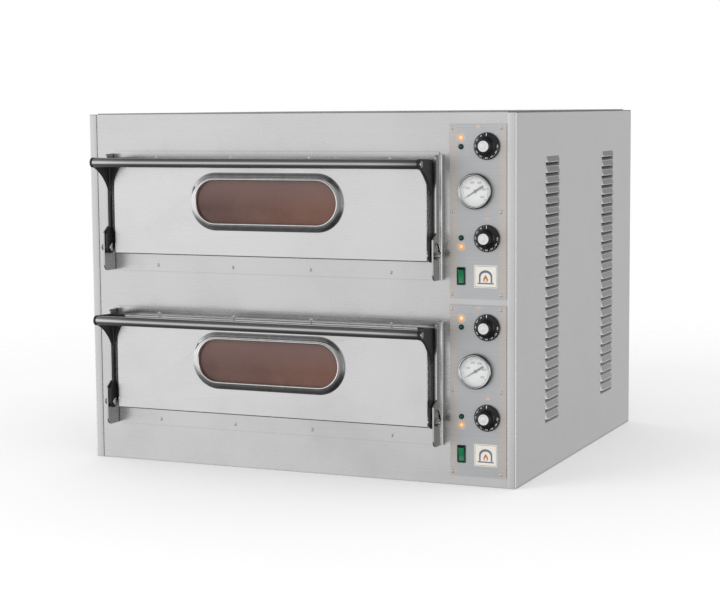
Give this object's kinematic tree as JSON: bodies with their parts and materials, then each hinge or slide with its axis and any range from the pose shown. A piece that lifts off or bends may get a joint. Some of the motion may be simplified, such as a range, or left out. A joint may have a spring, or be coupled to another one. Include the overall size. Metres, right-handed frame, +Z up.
{
  "type": "countertop pizza oven",
  "caption": "Electric deck pizza oven: stacked chambers, drop-down windowed doors with full-width handle bars, and a side control bay with knobs, thermometers and rockers.",
  "frame": {"origin": "centre of the body's footprint, on the counter", "axes": "+Z up; -Y is the front with the doors; +X is to the right seen from the front, towards the control bay"},
  "size_m": [0.9045, 0.8956, 0.695],
  "materials": {
    "casing_steel": "brushed stainless sheet, vertical grain",
    "inner_steel": "dull mill-finish sheet",
    "bright_fastener": "bright zinc or stainless",
    "mineral_wool": "felted mineral wool",
    "refractory_stone": "fired clay, fine grained",
    "element_sheath": "heat-darkened sheath",
    "lamp_ceramic": "glazed socket and frosted dome",
    "panel_steel": "fine brushed plate with a printed border",
    "gauge_bezel": "polished rolled bezel",
    "dial_white": "white enamel with printed scale",
    "gauge_glass": "clear flat glass",
    "needle_black": "satin black",
    "thermostat_case": "moulded thermoset",
    "knob_black": "satin black moulding",
    "spindle_steel": "turned steel",
    "pilot_green": "tinted lens",
    "switch_black": "moulded frame",
    "rocker_green": "translucent green moulding",
    "badge_enamel": "cream enamel plate",
    "terminal_plastic": "moulded strip",
    "gland_plastic": "black nylon",
    "bezel_chrome": "rolled bright ring",
    "window_glass": "smoked heat-proof pane",
    "bar_steel": "polished round bar",
    "arm_black": "satin black casting"
  },
  "bodies": {
    "oven_body": {"base_pan": "inner_steel", "left_side_panel": "casing_steel", "right_side_panel": "casing_steel", "back_panel": "inner_steel", "top_cover": "casing_steel", "front_panel": "casing_steel", "partition_wall": "inner_steel", "upper_chamber_liner": "inner_steel", "lower_chamber_liner": "inner_steel", "mouth_frames": "casing_steel", "mouth_frame_screws": "bright_fastener", "insulation_blankets": "mineral_wool", "upper_hearth_stones": "refractory_stone", "lower_hearth_stones": "refractory_stone", "upper_heating_elements": "element_sheath", "lower_heating_elements": "element_sheath", "chamber_lamps": "lamp_ceramic", "hinge_cheeks": "casing_steel", "hinge_bolts": "bright_fastener", "hinge_nuts": "bright_fastener", "upper_control_panel": "panel_steel", "lower_control_panel": "panel_steel", "control_panel_screws": "bright_fastener", "thermometer_cases": "gauge_bezel", "thermometer_dials": "dial_white", "thermometer_glasses": "gauge_glass", "thermostat_bodies": "thermostat_case", "pilot_lamps": "pilot_green", "switch_housings": "switch_black", "badge_plates": "badge_enamel", "terminal_block": "terminal_plastic", "cable_gland": "gland_plastic"},
    "lower_door": {"lower_door_outer_skin": "casing_steel", "lower_door_inner_skin": "inner_steel", "lower_door_insulation": "mineral_wool", "lower_window_bezel": "bezel_chrome", "lower_window_glass": "window_glass", "lower_handle_bar": "bar_steel", "lower_door_arms": "arm_black", "lower_handle_screws": "bright_fastener"},
    "lower_top_heat_control": {"lower_top_heat_knob": "knob_black", "lower_top_heat_spindle": "spindle_steel"},
    "lower_base_heat_control": {"lower_base_heat_knob": "knob_black", "lower_base_heat_spindle": "spindle_steel"},
    "lower_switch": {"lower_switch_rocker": "rocker_green"},
    "lower_needle": {"lower_thermometer_needle": "needle_black"},
    "upper_door": {"upper_door_outer_skin": "casing_steel", "upper_door_inner_skin": "inner_steel", "upper_door_insulation": "mineral_wool", "upper_window_bezel": "bezel_chrome", "upper_window_glass": "window_glass", "upper_handle_bar": "bar_steel", "upper_door_arms": "arm_black", "upper_handle_screws": "bright_fastener"},
    "upper_top_heat_control": {"upper_top_heat_knob": "knob_black", "upper_top_heat_spindle": "spindle_steel"},
    "upper_base_heat_control": {"upper_base_heat_knob": "knob_black", "upper_base_heat_spindle": "spindle_steel"},
    "upper_switch": {"upper_switch_rocker": "rocker_green"},
    "upper_needle": {"upper_thermometer_needle": "needle_black"}
  },
  "joints": [
    {"name": "lower_door_hinge", "type": "hinge", "parent": "oven_body", "child": "lower_door", "pos_m": [-0.0465, -0.4233, 0.121], "axis": [1, 0, 0], "range_deg": [0, 80]},
    {"name": "lower_top_heat_turn", "type": "hinge", "parent": "oven_body", "child": "lower_top_heat_control", "pos_m": [0.3947, -0.3913, 0.2985], "axis": [0, 1, 0], "range_deg": [0, 270]},
    {"name": "lower_base_heat_turn", "type": "hinge", "parent": "oven_body", "child": "lower_base_heat_control", "pos_m": [0.3947, -0.3913, 0.13], "axis": [0, 1, 0], "range_deg": [0, 270]},
    {"name": "lower_switch_rock", "type": "hinge", "parent": "oven_body", "child": "lower_switch", "pos_m": [0.3438, -0.3893, 0.0595], "axis": [1, 0, 0], "range_deg": [-20, 0]},
    {"name": "lower_needle_turn", "type": "hinge", "parent": "oven_body", "child": "lower_needle", "pos_m": [0.372, -0.3913, 0.216], "axis": [0, 1, 0], "range_deg": [0, 250]},
    {"name": "upper_door_hinge", "type": "hinge", "parent": "oven_body", "child": "upper_door", "pos_m": [-0.0465, -0.4233, 0.431], "axis": [1, 0, 0], "range_deg": [0, 80]},
    {"name": "upper_top_heat_turn", "type": "hinge", "parent": "oven_body", "child": "upper_top_heat_control", "pos_m": [0.3947, -0.3913, 0.6315], "axis": [0, 1, 0], "range_deg": [0, 270]},
    {"name": "upper_base_heat_turn", "type": "hinge", "parent": "oven_body", "child": "upper_base_heat_control", "pos_m": [0.3947, -0.3913, 0.463], "axis": [0, 1, 0], "range_deg": [0, 270]},
    {"name": "upper_switch_rock", "type": "hinge", "parent": "oven_body", "child": "upper_switch", "pos_m": [0.3438, -0.3893, 0.3925], "axis": [1, 0, 0], "range_deg": [-20, 0]},
    {"name": "upper_needle_turn", "type": "hinge", "parent": "oven_body", "child": "upper_needle", "pos_m": [0.372, -0.3913, 0.549], "axis": [0, 1, 0], "range_deg": [0, 250]}
  ]
}
